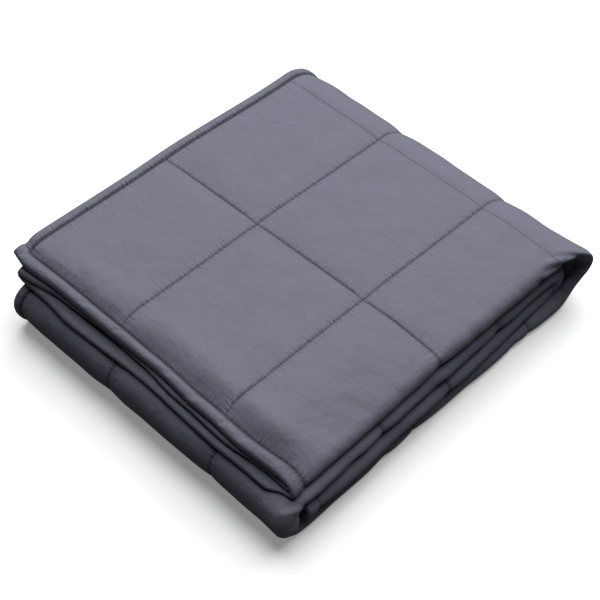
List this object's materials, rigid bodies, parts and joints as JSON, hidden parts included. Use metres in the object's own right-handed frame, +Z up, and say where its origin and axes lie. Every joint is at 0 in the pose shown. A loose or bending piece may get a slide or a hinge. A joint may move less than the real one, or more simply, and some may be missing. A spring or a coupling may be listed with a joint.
{
  "type": "weighted blanket",
  "caption": "Quilted weighted blanket of plain cotton with a turned hem, folded over and over into a thick, nearly square stack that lies flat",
  "frame": {"origin": "under the middle of the folded stack, on the surface that it lies on", "axes": "+X across the stack towards the fold noses, +Y from the hem side to the wrapped back fold, +Z up through the layers"},
  "size_m": [0.351, 0.3853, 0.0771],
  "materials": {
    "quilted_cotton": "matte plain-weave cotton, slate grey"
  },
  "bodies": {
    "root": {"blanket": "quilted_cotton"}
  },
  "joints": []
}
